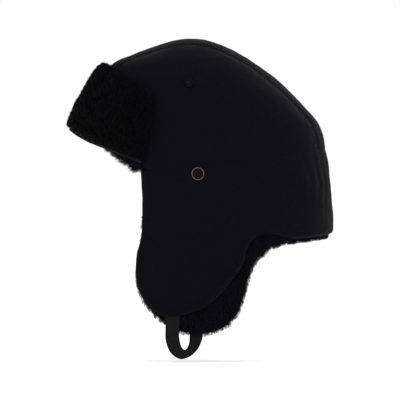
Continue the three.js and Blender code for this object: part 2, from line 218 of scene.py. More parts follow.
def form_normal(t, turn):
    step = 1e-4
    low, high = section(np.maximum(t - step, 0)), section(np.minimum(t + step, 1))
    _, _, reach, half = section(t)
    c, s = np.cos(turn), np.sin(turn)
    power = 2 / ROUNDNESS
    across, sideways = signed_power(c, 2 - power) / reach, signed_power(s, 2 - power) / half
    dz, dmiddle, dreach, dhalf = (high[k] - low[k] for k in range(4))
    dx = dmiddle + dreach * signed_power(c, power)
    dy = dhalf * signed_power(s, power)
    up = -(across * dx + sideways * dy) / np.maximum(dz, 1e-9)
    return unit(np.stack([across, sideways, up], -1))


T_TABLE = np.linspace(0, 1, 4001)
Z_TABLE = section(T_TABLE)[0]


def t_at(z):
    return np.interp(z, Z_TABLE, T_TABLE)


def turn_at(t, x, side):
    """The turn at which a level section passes a given x, on one side of the hat."""
    _, middle, reach, _ = section(t)
    cosine = signed_power(np.clip((x - middle) / reach, -1, 1), ROUNDNESS / 2)
    return side * np.arccos(np.clip(cosine, -1, 1))


def front_turn(x, z):
    return float(turn_at(t_at(z), x, 1))


def wall(x, z, side, out=0.0):
    """The point of the outer form straight out from a place in the side view."""
    t = t_at(np.asarray(z, float))
    return form(t, turn_at(t, np.asarray(x, float), side), out)


def ahead_of_temple(points):
    return (points - TEMPLE) @ RIM_FORWARD


def above_rim(points):
    return (points - TEMPLE) @ RIM_UP


def seam_height(x):
    slope = (SEAM_BACK[2] - TEMPLE[2]) / (SEAM_BACK[0] - TEMPLE[0])
    return TEMPLE[2] + (x - TEMPLE[0]) * slope


def neck_low(x):
    return np.interp(x, NAPE_X, NAPE_Z)


def crossing(turn, line, low=-0.1, high=0.1):
    """For each turn, the t at which the form passes a line given as height against x."""
    t = np.linspace(t_at(low), t_at(high), 1500)
    points = form(t[:, None], turn)
    above = points[..., 2] - line(points[..., 0])
    return np.array([np.interp(0, above[:, j], t) for j in range(len(turn))])


def rim_crossing(turn, heights, top):
    """For each turn, the t at which the form passes some heights above the rim's plane."""
    t = np.linspace(t_at(-30 * MM), top, 500)
    above = above_rim(form(t[:, None], turn))
    return np.array([np.interp(heights, above[:, j], t) for j in range(len(turn))])


def relief(points):
    """How far the padded cloth stands out from the form: pulled in at its seams, puckered and uneven."""
    x, y, z = np.moveaxis(points, -1, 0)
    crown = ease(z - seam_height(x), 2) * ease(above_rim(points), 2)
    to_strip = np.abs(np.abs(y) - STRIP_HALF)
    to_seam = np.where(x > TEMPLE[0], np.abs(z - seam_height(x)), 1.0)
    out = 0.9 * MM * (1 - bell(to_seam, 9)) - 0.45 * MM * bell(to_seam, 1.6)
    out -= crown * 0.9 * MM * (bell(to_strip, 9) + bell(to_strip, 1.6))
    out += crown * 0.22 * MM * bell(to_strip, 7) * np.sin((x + z) / (2.3 * MM)) * (to_strip > 0.8 * MM)
    back = ease(x - 84 * MM, 34) * bell(z + 12 * MM, 26)
    out += back * 0.4 * MM * np.sin(y / (1.9 * MM) + 1.4 * np.sin(z / (9 * MM)))
    out -= back * 0.7 * MM * bell(z + 8 * MM, 7)
    fold_zone = bell(z - FOLD, 9) * (np.abs(x) < 62 * MM)
    out += fold_zone * 0.5 * MM * np.sin(x / (9 * MM) + 2 * np.sin(z / (12 * MM)))
    return out + 1.0 * MM * tuft_noise(points, 34 * MM) + 0.3 * MM * tuft_noise(points, 11 * MM)


def on_cloth(t, turn, lift=0.0):
    """Points on the padded cloth and the form's normals there."""
    points, normals = form(t, turn), form_normal(t, turn)
    return points + normals * (relief(points) + lift)[..., None], normals


# ---- mesh helpers

def add_mesh(name, points, groups):
    """A smooth mesh object from an array of points and a list of arrays of faces."""
    sizes = np.concatenate([np.full(len(g), g.shape[1], np.int32) for g in groups])
    corners = np.concatenate([g.ravel() for g in groups]).astype(np.int32)
    mesh = bpy.data.meshes.new(name)
    mesh.vertices.add(len(points))
    mesh.vertices.foreach_set("co", np.asarray(points, np.float32).ravel())
    mesh.loops.add(len(corners))
    mesh.loops.foreach_set("vertex_index", corners)
    mesh.polygons.add(len(sizes))
    mesh.polygons.foreach_set("loop_start", np.concatenate([[0], np.cumsum(sizes)[:-1]]).astype(np.int32))
    mesh.polygons.foreach_set("use_smooth", np.full(len(sizes), True))
    mesh.update(calc_edges=True)
    mesh.validate()
    piece = bpy.data.objects.new(name, mesh)
    bpy.context.scene.collection.objects.link(piece)
    return piece


def grid_faces(rows, columns, round_rows=False, round_columns=False):
    i = np.arange(rows if round_rows else rows - 1)[:, None]
    j = np.arange(columns if round_columns else columns - 1)[None, :]
    row, column, next_row, next_column = i * columns, j, (i + 1) % rows * columns, (j + 1) % columns
    corners = [row + column, row + next_column, next_row + next_column, next_row + column]
    return np.stack(corners, -1).reshape(-1, 4)


def add_grid(name, points, **rounds):
    return add_mesh(name, points.reshape(-1, 3), [grid_faces(*points.shape[:2], **rounds)])


@contextmanager
def editing(piece):
    work = bmesh.new()
    work.from_mesh(piece.data)
    yield work
    work.to_mesh(piece.data)
    work.free()


def keep_side(piece, cuts):
    """Cuts a piece by planes given as (point, normal), and keeps what the normals point to."""
    with editing(piece) as work:
        for point, normal in cuts:
            everything = work.verts[:] + work.edges[:] + work.faces[:]
            bmesh.ops.bisect_plane(work, geom=everything, plane_co=point, plane_no=normal, clear_inner=True,
                                   dist=1e-7)
    return piece


def weld(piece):
    with editing(piece) as work:
        bmesh.ops.remove_doubles(work, verts=work.verts, dist=0.02 * MM)
    return piece


def recalculate(piece):
    with editing(piece) as work:
        bmesh.ops.recalc_face_normals(work, faces=work.faces)
    return piece


def add_round(name, points, both=True):
    """A grid whose rows are rings, closed over its first ring, and as a rule over the last one too."""
    piece = add_grid(name, points, round_columns=True)
    columns = points.shape[1]
    with editing(piece) as work:
        corners = list(work.verts)
        for ring in (corners[:columns][::-1], corners[-columns:])[:1 + both]:
            work.faces.new(ring).smooth = True
        bmesh.ops.recalc_face_normals(work, faces=work.faces)
    return piece


def thicken(piece, thickness=CLOTH, offset=-1):
    """Gives a sheet its thickness, inwards from the outer face, with crisp cut edges."""
    solid = piece.modifiers.new("thickness", "SOLIDIFY")
    solid.thickness = thickness
    solid.offset = offset
    solid.use_even_offset = False
    shown = piece.evaluated_get(bpy.context.evaluated_depsgraph_get())
    mesh = bpy.data.meshes.new_from_object(shown)
    piece.modifiers.clear()
    piece.data = mesh
    mesh.set_sharp_from_angle(angle=math.radians(50))
    return piece


def paint(piece, *materials):
    piece.data.materials.clear()
    for material in materials:
        piece.data.materials.append(material)
    return piece


def dress(piece, material, body, slot, *nodes, fill=None):
    """A piece's material, body and the CAD nodes that it stands for; the slot and how full its padding is are
    not used.
    """
    if material:
        paint(piece, material)
    if body:
        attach(piece, body)
    if nodes:
        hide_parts(*nodes)
    return piece


def bend(piece):
    """Bakes a piece's placement into its mesh."""
    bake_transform(piece)


def read(collection, attribute, kind=np.float32):
    """Three values of each item of a mesh, as rows."""
    values = np.zeros(len(collection) * 3, kind)
    collection.foreach_get(attribute, values)
    return values.reshape(-1, 3)


def mesh_arrays(piece):
    """Points, point normals and triangles of a piece."""
    mesh = piece.data
    mesh.calc_loop_triangles()
    points, normals = read(mesh.vertices, "co"), read(mesh.vertex_normals, "vector")
    return points.astype(float), normals.astype(float), read(mesh.loop_triangles, "vertices", np.int32)


# ---- materials

class Shader:
    """A procedural material on object coordinates, so that its grain has a real size in metres."""

    def __init__(self, name):
        self.material = bpy.data.materials.new(name)
        self.material.use_nodes = True
        self.tree = self.material.node_tree
        self.tree.nodes.clear()
        self.place = self.add("TexCoord").outputs["Object"]

    def add(self, kind, inputs=None, **settings):
        made = self.tree.nodes.new("ShaderNode" + kind)
        for key, value in settings.items():
            setattr(made, key, value)
        for key, value in (inputs or {}).items():
            if isinstance(value, bpy.types.NodeSocket):
                self.tree.links.new(value, made.inputs[key])
            elif value is not None:
                made.inputs[key].default_value = value
        return made

    def total(self, *parts):
        """The sum of some (value, share) parts."""
        found = 0.0
        for value, share in parts:
            found = self.add("Math", {0: value, 1: share, 2: found}, operation="MULTIPLY_ADD").outputs[0]
        return found

    def product(self, a, b):
        return self.add("Math", {0: a, 1: b}, operation="MULTIPLY").outputs[0]

    def noise(self, grain, detail=2.0, stretch=(1, 1, 1)):
        """Noise with features of about this size in metres."""
        place = self.add("VectorMath", {0: self.place, 1: stretch}, operation="MULTIPLY").outputs[0]
        settings = {"Vector": place, "Scale": 1 / grain, "Detail": detail}
        return self.add("TexNoise", settings).outputs["Fac"]

    def ribs(self, pitch, direction, wander):
        """Rounded ribs this far apart, square to a direction; 0 between them and 1 on top."""
        place = self.add("VectorMath", {0: self.place, 1: direction}, operation="DOT_PRODUCT")
        phase = self.total((place.outputs["Value"], 2 * math.pi / pitch), (self.noise(pitch * 7), wander))
        wave = self.add("Math", {0: phase}, operation="SINE").outputs[0]
        return self.total((wave, 0.5), (1.0, 0.5))

    def mix(self, factor, a, b):
        return self.add("Mix", {0: factor, 6: (*a, 1), 7: (*b, 1)}, data_type="RGBA").outputs[2]

    def spread(self, value, low, high):
        """Stretches a range of a value to 0 to 1."""
        return self.add("MapRange", {"Value": value, "From Min": low, "From Max": high}).outputs["Result"]

    def between(self, value, low, high):
        """Stretches 0 to 1 to a range."""
        return self.add("MapRange", {"Value": value, "To Min": low, "To Max": high}).outputs["Result"]

    def bump(self, height, depth, under=None, strength=1.0):
        inputs = {"Height": height, "Distance": depth, "Strength": strength, "Normal": under}
        return self.add("Bump", inputs).outputs[0]

    def finish(self, color, roughness, normal=None, **constants):
        inputs = {"Base Color": color, "Roughness": roughness, "Normal": normal}
        inputs.update({name.replace("_", " "): value for name, value in constants.items()})
        shader = self.add("BsdfPrincipled", inputs)
        self.add("OutputMaterial", {"Surface": shader.outputs[0]})
        return self.material


def twill(name, dark, light, pitch=0.95 * MM):
    """Napped twill cloth: diagonal ribs crossed by finer threads, under a soft uneven nap."""
    s = Shader(name)
    ribs = s.ribs(pitch, (0.72, 0.66, 0.74), 3.0)
    threads = s.ribs(pitch * 0.47, (0.7, -0.5, -0.72), 3.0)
    nap = s.noise(0.35 * MM, 3.0)
    patches = s.spread(s.noise(26 * MM, 4.0), 0.35, 0.7)
    lint = s.spread(s.noise(2.4 * MM, 2.0), 0.45, 0.62)
    shade = s.total((ribs, 0.14), (nap, 0.61), (s.product(patches, lint), 0.35))
    height = s.total((ribs, 0.45), (threads, 0.35), (nap, 1.0))
    soft = s.bump(s.noise(9 * MM, 3.0), 0.9 * MM, strength=0.5)
    return s.finish(s.mix(shade, dark, light), s.between(patches, 0.82, 0.95), s.bump(height, 0.1 * MM, soft),
                    Specular_IOR_Level=0.03, Sheen_Weight=0.03, Sheen_Roughness=0.45)


def pelt_material(name, dark, light, stretch):
    """The ground of a fur: fine combed streaks in uneven tufts."""
    s = Shader(name)
    streaks = s.noise(0.7 * MM, 3.0, stretch)
    tufts = s.noise(7 * MM, 3.0)
    shade = s.spread(s.total((streaks, 0.6), (tufts, 0.4)), 0.35, 0.65)
    normal = s.bump(streaks, 0.8 * MM, s.bump(tufts, 3 * MM, strength=0.6))
    return s.finish(s.mix(shade, dark, light), s.between(tufts, 0.7, 0.9), normal,
                    Specular_IOR_Level=0.05, Sheen_Weight=0.03, Sheen_Roughness=0.5)


def hair_shades(name, *colors):
    """The shades of a fur. A hair is far finer than any pattern, so the variety is in the several shades."""
    return [Shader(f"{name}_{i}").finish((*color, 1), 0.6, Specular_IOR_Level=0.06, Sheen_Weight=0.02)
            for i, color in enumerate(colors)]


def webbing_material(name, dark, light):
    """Woven webbing: crosswise ribs, with the long warp threads over them."""
    s = Shader(name)
    ribs = s.ribs(1.3 * MM, (0.1, 0.05, 1.0), 0.8)
    warp = s.ribs(0.6 * MM, (1.0, 0.4, 0.1), 0.8)
    weave = s.product(ribs, s.total((warp, 0.6), (1.0, 0.4)))
    shade = s.total((weave, 0.7), (s.noise(6 * MM, 3.0), 0.5))
    return s.finish(s.mix(shade, dark, light), 0.85, s.bump(weave, 0.15 * MM),
                    Specular_IOR_Level=0.08, Sheen_Weight=0.06, Sheen_Roughness=0.4)


def satin(name, dark, light, roughness=0.5):
    """Fine smooth cloth or thread, softly wrinkled."""
    s = Shader(name)
    threads = s.ribs(0.3 * MM, (0.8, 0.8, 0.4), 2.0)
    wrinkles = s.noise(5 * MM, 4.0, (1, 1, 2))
    shade = s.total((threads, 0.4), (wrinkles, 0.6))
    normal = s.bump(wrinkles, 0.5 * MM, s.bump(threads, 0.05 * MM))
    return s.finish(s.mix(shade, dark, light), roughness, normal, Specular_IOR_Level=0.08, Sheen_Weight=0.02)


def metal(name, dark, light, roughness, wear_grain=1.2 * MM):
    """Aged metal: darker tarnish in patches, fine scratches, uneven polish."""
    s = Shader(name)
    tarnish = s.spread(s.noise(wear_grain, 5.0), 0.35, 0.65)
    scratches = s.noise(0.15 * MM, 2.0, (1, 1, 6))
    return s.finish(s.mix(tarnish, dark, light), s.between(tarnish, roughness + 0.2, roughness),
                    s.bump(scratches, 0.02 * MM), Metallic=1.0)


def plastic(name, dark, light):
    """Moulded plastic, faintly mottled."""
    s = Shader(name)
    mottle = s.noise(1.5 * MM, 4.0)
    return s.finish(s.mix(mottle, dark, light), s.between(mottle, 0.35, 0.6),
                    s.bump(s.noise(0.4 * MM, 3.0), 0.03 * MM), Specular_IOR_Level=0.05)


SHELL = twill("shell_twill", (0.0014, 0.0014, 0.0026), (0.0038, 0.0038, 0.0062))
LINING = satin("lining_satin", (0.003, 0.003, 0.0042), (0.007, 0.007, 0.009))
# The fold line's cloth: the shell's twill painted several times lighter, a painted highlight along the fold.
FOLD_HIGHLIGHT_TWILL = twill("fold_highlight_twill", (0.0055, 0.0055, 0.0066), (0.0155, 0.0155, 0.017), 0.8 * MM)
THREAD = satin("stitch_thread", (0.0012, 0.0012, 0.0018), (0.0034, 0.0034, 0.0046), 0.85)
PELT = pelt_material("fur_ground", (0.0006, 0.0006, 0.0009), (0.0022, 0.0022, 0.0029), (1, 1, 0.25))
FLAP_HAIRS = hair_shades("fur_hair", (0.0005, 0.0005, 0.0015), (0.0013, 0.0013, 0.0034),
                         (0.0037, 0.0037, 0.0085))
EAR_HAIRS = hair_shades("ear_fur_hair", (0.0031, 0.0030, 0.0061), (0.0064, 0.0062, 0.0118),
                        (0.0128, 0.0124, 0.0225))
WEBBING = webbing_material("webbing_weave", (0.0025, 0.0025, 0.003), (0.0098, 0.0095, 0.0108))
LABEL = satin("blank_label", (0.010, 0.010, 0.012), (0.022, 0.022, 0.026))
DARK_BRASS = metal("eyelet_tarnished_brass", (0.004, 0.0035, 0.003), (0.013, 0.011, 0.009), 0.45)
WORN_BRASS = metal("eyelet_worn_brass", (0.06, 0.055, 0.045), (0.20, 0.18, 0.155), 0.35, 0.8 * MM)
PIN = metal("button_pin", (0.012, 0.0115, 0.011), (0.042, 0.04, 0.037), 0.4, 0.5 * MM)
BUTTON = plastic("button_plastic", (0.0006, 0.0006, 0.0010), (0.0016, 0.0016, 0.0024))
# A dark disc across each eyelet's hole: painted shade standing for the depth of the hole.
EYELET_HOLE_SHADE = metal("eyelet_hole_shade", (0.0052, 0.0046, 0.0038), (0.0155, 0.0132, 0.0108), 0.6, 0.4 * MM)
ELASTIC = webbing_material("neck_elastic", (0.012, 0.012, 0.013), (0.035, 0.035, 0.038))


# ---- fur

def scatter(piece, count, rng, weight):
    """Random places on a piece, with its normals there; weight(centres, normals) thins them out."""
    points, normals, triangles = mesh_arrays(piece)
    corners = points[triangles]
    area = np.linalg.norm(np.cross(corners[:, 1] - corners[:, 0], corners[:, 2] - corners[:, 0]), axis=1)
    area = area * weight(corners.mean(1), normals[triangles].mean(1))
    chosen = rng.choice(len(triangles), count, p=area / area.sum())
    a, b = rng.random(count), rng.random(count)
    over = a + b > 1
    a[over], b[over] = 1 - a[over], 1 - b[over]
    shares = np.stack([1 - a - b, a, b], -1)[..., None]
    picked = triangles[chosen]
    return (points[picked] * shares).sum(1), unit((normals[picked] * shares).sum(1))


HAIR_WIDTH = 0.36 * MM
HAIR_STATIONS = ((-0.08, 1.0), (0.38, 0.9), (0.74, 0.6))  # share of the length, share of the width
HAIRS_PER_TUFT = 14
CLUMPING = 0.55


def add_hair(name, roots, normals, flow, length, rng, shades, lift=0.5, droop=0.0):
    """Tapered ribbons of hair that lean with the flow and gather into tufts."""
    count = len(roots)
    along = unit(flow - (flow * normals).sum(1, keepdims=True) * normals)
    length = np.broadcast_to(length, (count,)) * rng.uniform(0.7, 1.12, count)
    length = (length * (1 + 0.22 * tuft_noise(roots, 6 * MM)))[:, None]
    start = unit(normals * lift + along * (1 - lift) + rng.normal(0, 0.16, (count, 3)))
    end = normals * lift * 0.45 + along * (1 - lift * 0.45) + (0, 0, -droop)
    end = unit(end + rng.normal(0, 0.22, (count, 3)))
    tip = roots + (start + end) / 2 * length
    centres = rng.choice(count, count // HAIRS_PER_TUFT, replace=False)
    owner = centres[nearest(roots[centres], roots)[0]]
    pull = (tip[owner] + (roots - roots[owner]) * 0.25 - tip) * CLUMPING
    pull *= np.minimum(1, 0.8 * length / np.maximum(np.linalg.norm(pull, axis=1, keepdims=True), 1e-9))
    side = unit(np.cross(start, rng.normal(0, 1, (count, 3)))) * HAIR_WIDTH / 2

    def middle(share):
        return roots + start * length * share + ((end - start) * length / 2 + pull) * share * abs(share)

    rows = [middle(share) + way * wide * side for share, wide in HAIR_STATIONS for way in (-1, 1)]
    points = np.stack([*rows, middle(1.0)], 1).reshape(-1, 3)
    first = np.arange(count)[:, None] * (len(rows) + 1)
    quads = np.concatenate([first + (0, 1, 3, 2), first + (2, 3, 5, 4)])
    piece = add_mesh(name, points, [quads, first + (4, 5, 6)])
    shade = rng.choice(3, count, p=(0.45, 0.42, 0.13))
    piece.data.polygons.foreach_set("material_index", np.tile(shade, 3).astype(np.int32))
    return paint(piece, *shades)


# ---- crown and neck cloth

def add_crown():
    """The crown's padded cloth: a strip over the middle and a panel on each side."""
    low_t = np.linspace(t_at(-8 * MM), 1, 2000)
    profile = length_along(form(low_t, 2.2))
    t = np.interp(np.linspace(0, profile[-1], 120), profile, low_t)
    cloth, _ = on_cloth(*np.meshgrid(t, np.linspace(0, 2 * math.pi, 289), indexing="ij"))
    seam_normal = unit(np.array((TEMPLE[2] - SEAM_BACK[2], 0, SEAM_BACK[0] - TEMPLE[0])))
    above = [(TEMPLE + 3 * MM * RIM_UP, RIM_UP), (TEMPLE, seam_normal)]

    def beside(edge, facing):
        return (0, edge * STRIP_HALF, 0), (0, facing, 0)

    panels = (
        ("centre", [beside(1, -1), beside(-1, 1)], ("crown_centre_strip", "crown_wadding")),
        ("left", [beside(-1, -1)], ("crown_side_panel_left",)),
        ("right", [beside(1, 1)], ("crown_side_panel_right",)),
    )
    for word, cuts, nodes in panels:
        piece = keep_side(weld(add_grid("crown_shell_" + word, cloth)), above + cuts)
        dress(thicken(piece), SHELL, "crown", "shell_cloth", *nodes, fill=0.35)


def roll_in(distance):
    """How far a cloth edge turns in towards the fur, by the distance from the edge."""
    share = np.clip(1 - distance / (6 * MM), 0, 1)
    return 4.6 * MM * (1 - np.sqrt(1 - share**2 * 0.999))


def add_neck():
    """The neck's padded cloth, from the seam down to the ear flaps' cloth and the free nape hem."""
    edge = front_turn(EDGE_X, -30 * MM)
    step = [side * front_turn(x * MM, -60 * MM) for side in (-1, 1) for x in (57.8, 58.2, 58.6)]
    turn = np.sort(np.concatenate([np.linspace(-edge, edge, 241), step]))
    low, high = crossing(turn, neck_low), crossing(turn, seam_height)
    share = np.concatenate([[0, 0.02], np.linspace(0.034, 0.08, 9), np.linspace(0.1, 1, 32)])[:, None]
    points, outward = on_cloth(low + (high - low) * share, turn)
    x, z = points[..., 0], points[..., 2]
    roll = roll_in(z - neck_low(x) + 1 - ease(x - 58 * MM, 6)) + roll_in(x - EDGE_X)
    tuck = 1.7 * MM * np.clip((CUFF - z) / (0.9 * MM), 0, 1) + 0.05 * MM * ease(CUFF + 4 * MM - z, 3.4)
    roll += tuck * (x < CUFF_END_X)
    piece = add_grid("neck_shell", points - outward * roll[..., None])
    dress(thicken(piece), SHELL, "crown", "shell_cloth", "neck_band_shell", "neck_band_wadding", fill=0.3)


# ---- ear flaps

def outline_of(corners, count):
    """A closed side outline: smooth through its points, straight across the top, evenly spaced."""
    corners = np.array(corners) * MM
    line = spline(corners, np.linspace(0, 1, 1200))
    line = np.vstack([line, np.linspace(corners[-1], corners[0], 300)[1:-1]])
    far = length_along(line)
    return at_lengths(line, far, np.linspace(0, far[-1], count))


def polar(outline, shares):
    """Copies of an outline, shrunk about the flap's centre."""
    return EAR_CENTRE + (outline - EAR_CENTRE) * shares[:, None, None]


def from_outline(outline, places):
    """Distance of each place from an outline."""
    return nearest(outline, places.reshape(-1, 2))[1].reshape(places.shape[:-1])


def inside(outline, places, share):
    """True for places inside an outline shrunk about the flap's centre."""
    away, rim = places - EAR_CENTRE, outline - EAR_CENTRE
    angles = np.arctan2(rim[:, 1], rim[:, 0])
    order = np.argsort(angles)
    reach = np.interp(np.arctan2(away[:, 1], away[:, 0]), angles[order], np.linalg.norm(rim, axis=1)[order],
                      period=2 * math.pi)
    return np.linalg.norm(away, axis=1) < reach * share


def bend_ear_cloth(piece):
    bend(piece)


def add_ear_flap(word, side, rng):
    """One ear flap: its padded cloth and its fur."""
    outline = outline_of(EAR_SHELL, 260)
    near_rim = [0.89, 0.92, 0.945, 0.965, 0.98, 0.99, 0.997, 1.0]
    places = polar(outline, np.concatenate([[0.004], np.linspace(0.06, 0.86, 20), near_rim]))
    x, z = np.moveaxis(places, -1, 0)
    points, outward = wall(x, z, side), form_normal(t_at(z), turn_at(t_at(z), x, side))
    free = 1 - ease(x - 50 * MM, 7)
    rim = from_outline(outline[outline[:, 1] < CUFF - 0.2 * MM], places)
    bulge = 1.2 * MM * ease(rim, 30) * ease(CUFF - z, 30)
    out = relief(points) + (bulge - roll_in(rim) - 0.5 * MM * bell(rim - 7 * MM, 1.5)) * free
    piece = add_round("ear_flap_cloth_" + word, points + outward * out[..., None], both=False)
    if piece.data.polygons[0].normal.y * side < 0:
        piece.data.flip_normals()
    dress(thicken(piece), SHELL, None, "shell_cloth", "ear_flap_shell_" + word, "ear_flap_wadding_" + word,
          fill=0.3)
    bend_ear_cloth(piece)
    add_ear_fur(word, side, rng)


def add_ear_fur(word, side, rng):
    """The flap's fur: a thick soft pelt with rounded edges, and its hair."""
    outline = outline_of(EAR_FUR, 200)
    shares = np.array([0.004, 0.2, 0.4, 0.56, 0.7, 0.8, 0.87, 0.92, 0.955, 0.978, 0.992, 1.0])
    swell = 0.42 * (1 - shares**7) ** (1 / 2.2)
    depths = np.concatenate([0.5 - swell, 0.5 + swell[-2::-1]])[:, None]
    places = polar(outline, np.concatenate([shares, shares[-2::-1]]))
    depth = 4.6 * MM + 7.8 * MM * depths + 0.7 * MM * tuft_noise(places, 13 * MM)
    x, z = np.moveaxis(places, -1, 0)
    piece = add_round("ear_flap_pelt_" + word, wall(x, z, side, -depth))
    covered = outline_of(EAR_SHELL, 260)

    def weight(centres, directions):
        flat = centres[:, (0, 2)]
        hidden = inside(covered, flat, 0.955) & (directions[:, 1] * side > 0.35)
        top = centres[:, 2] > FOLD + 4 * MM
        return np.where(hidden | top, 0.0, 1 + 1.2 * np.exp(-from_outline(outline, flat) / (8 * MM)))

    roots, normals = scatter(piece, 15000, rng, weight)
    flat = roots[:, (0, 2)]
    away = unit(np.insert(flat - EAR_CENTRE, 1, 0, axis=1))
    flow = unit(away * 0.8 + np.array((0.1, 0, -0.75)))
    length = 7.2 * MM - 1.0 * MM * bell(from_outline(outline, flat), 8)
    hair = add_hair("ear_flap_hair_" + word, roots, normals, flow, length, rng, EAR_HAIRS, droop=0.15)
    dress(piece, PELT, None, "fur", "ear_flap_fur_" + word, fill=0.7)
    dress(hair, None, None, "fur")
    for made in (piece, hair):
        bend(made)


# ---- front flap

FLAP_TURNS = np.linspace(math.pi + 1.4, math.pi - 1.4, 561)
FLAP_UPS = np.linspace(-6, 78, 43) * MM
FLAP_SHARES = np.linspace(-1, 1, 401)
FLAP_BACK_UP = np.array((-6, 0.6, 18, 36, 56, 65, 70, 78)) * MM
FLAP_BACK = np.array((3, 4, 10, 19, 29, 35, 44, 47)) * MM
FLAP_END_LENGTH = 190 * MM  # about half the way round the flap
SEGMENTS = ("wing_left", "side_left", "centre", "side_right", "wing_right")

# For each kind of segment: its joints, the columns of its pelt, backing and fold line, and its hairs.
SEGMENT_KINDS = {
    "wing": ((None, FLAP_JOINTS_AT[1]), 26, 24, 46, 9000),
    "side": (FLAP_JOINTS_AT[1:], 18, 16, 30, 7000),
    "centre": ((FLAP_JOINTS_AT[2], None), 44, 40, 70, 20000),
}


def kind_of(segment):
    return SEGMENT_KINDS[segment.split("_")[0]]


def flap_tables():
    """The form's level lines above the rim, from the left back end of the front flap round to the right."""
    t_up = rim_crossing(FLAP_TURNS, FLAP_UPS, 1).T
    along = ahead_of_temple(form(t_up, FLAP_TURNS))
    half = len(FLAP_TURNS) // 2
    tables = []
    for i, up in enumerate(FLAP_UPS):
        start = np.interp(up, FLAP_BACK_UP, FLAP_BACK)
        first = np.interp(start, along[i, :half], FLAP_TURNS[:half])
        turn = np.linspace(first, 2 * math.pi - first, 1200)
        t = np.interp(-turn, -FLAP_TURNS, t_up[i])
        far = length_along(form(t, turn))
        here = np.interp((FLAP_SHARES + 1) / 2 * far[-1], far, turn)
        t_here = np.interp(here, turn[::-1], t[::-1])
        tables.append(np.concatenate([form(t_here, here), form_normal(t_here, here)], -1))
    return np.array(tables)


def flap_at(tables, share, up):
    """The form's point and normal at a share of the way round the front flap and a height above the rim."""
    row = np.clip((up - FLAP_UPS[0]) / (FLAP_UPS[1] - FLAP_UPS[0]), 0, len(FLAP_UPS) - 1.001)
    column = np.clip((share + 1) / 2 * (len(FLAP_SHARES) - 1), 0, len(FLAP_SHARES) - 1.001)
    i, j = row.astype(int), column.astype(int)
    a, b = (row - i)[..., None], (column - j)[..., None]
    low = tables[i, j] * (1 - b) + tables[i, j + 1] * b
    high = tables[i + 1, j] * (1 - b) + tables[i + 1, j + 1] * b
    found = low * (1 - a) + high * a
    return found[..., :3], unit(found[..., 3:])


def flap_low(along, outer):
    """The flap's foot above the rim, by the distance ahead of the temple; outer is 1 at the flap's face."""
    foot = np.interp(along, np.array((4, 15, 60)) * MM, np.array((8.0, 7.0, 1.6)) * MM)
    drop = np.interp(along, np.array((12, 72)) * MM, np.array((1.0, 7.0)) * MM)
    return foot - drop * outer**2


def joint_share(tables, up, along):
    """The share at which a level line is some way ahead of the left temple; the right is its mirror."""
    share = np.linspace(-1, 0, 400)
    points, _ = flap_at(tables, share, up.reshape(-1, 1))
    return np.array([np.interp(along, line, share) for line in ahead_of_temple(points)]).reshape(up.shape)


def flap_grid(tables, segment, columns, ups, shrink=0.0):
    """Points and normals of the form under one segment: columns along the rim by heights above it."""
    start, end = kind_of(segment)[0]
    low = joint_share(tables, ups, start) if start else -np.ones_like(ups)
    high = joint_share(tables, ups, end) if end else -low
    if segment.endswith("right"):
        low, high = -high, -low
    share = np.linspace(0, 1, columns)[:, None]
    where = low + (high - low) * (shrink + (1 - 2 * shrink) * share)
    points, normals = flap_at(tables, where, np.broadcast_to(ups, where.shape))
    return points, normals, where


def flap_outset(points):
    """How far the flap's skin stands out from the crown: full at the sides, cut flat across the front."""
    room = FLAP_FACE + FLAP_PUFF * ease(above_rim(points), 50) - ahead_of_temple(points)
    return np.clip(-2 * MM * np.log(np.exp(-room / (2 * MM)) + np.exp(-12.8 / 2)), 3.2 * MM, None)


def flap_taper(where, reach):
    """Rounds the flap off over this many mm at its two back ends."""
    from_end = np.minimum(where + 1, 1 - where) * FLAP_END_LENGTH
    return np.sqrt(1 - (1 - np.clip(from_end / (reach * MM), 0, 1)) ** 2)


def add_front_flap(rng):
    """The turned-up front flap, in segments that each ride their own body."""
    tables = flap_tables()
    ring = ring_of(56)
    outer = (signed_power(np.cos(ring), 2 / 3.5) + 1) / 2
    plain_up = 35 * MM + signed_power(np.sin(ring), 2 / 3.5) * 33.5 * MM
    near = 2.9 * MM
    for segment in SEGMENTS:
        _, columns, _, _, hairs = kind_of(segment)
        points, _, where = flap_grid(tables, segment, columns, plain_up)
        low = flap_low(ahead_of_temple(points), outer)
        points, normals = flap_at(tables, where, low + (plain_up - 1.5 * MM) * (68.5 * MM - low) / (67 * MM))
        least = near + 2 * MM
        full = least + (flap_outset(points) - least) * flap_taper(where, 13)
        out = near + (full - near) * outer + tuft_noise(points, 12 * MM) * 0.8 * MM * (outer > 0.5)
        placed = points + normals * out[..., None]
        piece = add_round("front_flap_pelt_" + segment, placed)
        middles = placed.mean(1)
        first_way, last_way = unit(middles[1] - middles[0]), unit(middles[-1] - middles[-2])

        def weight(centres, directions):
            far_side = np.abs(centres[:, 1]) > 50 * MM
            inner = (directions @ RIM_FORWARD < -0.3) & ~far_side
            side_inner = (directions[:, 1] * np.sign(centres[:, 1]) < -0.35) & far_side
            capped = (directions @ first_way < -0.93) & (segment != "wing_left")
            capped |= (directions @ last_way > 0.93) & (segment != "wing_right")
            return np.where(inner | side_inner | capped, 0.0, 1.0)

        roots, root_normals = scatter(piece, hairs, rng, weight)
        flow = unit(RIM_UP * 0.8 + np.array((0.25, 0, 0)))
        hair = add_hair("front_flap_hair_" + segment, roots, root_normals, flow, 6.6 * MM, rng, FLAP_HAIRS,
                        lift=0.55)
        add_flap_backing(tables, segment)
        add_flap_fold_line(tables, segment)
        body = "front_flap_" + segment
        dress(piece, PELT, body, "fur", "front_flap_fur_" + segment, fill=0.7)
        dress(hair, None, body, "fur")


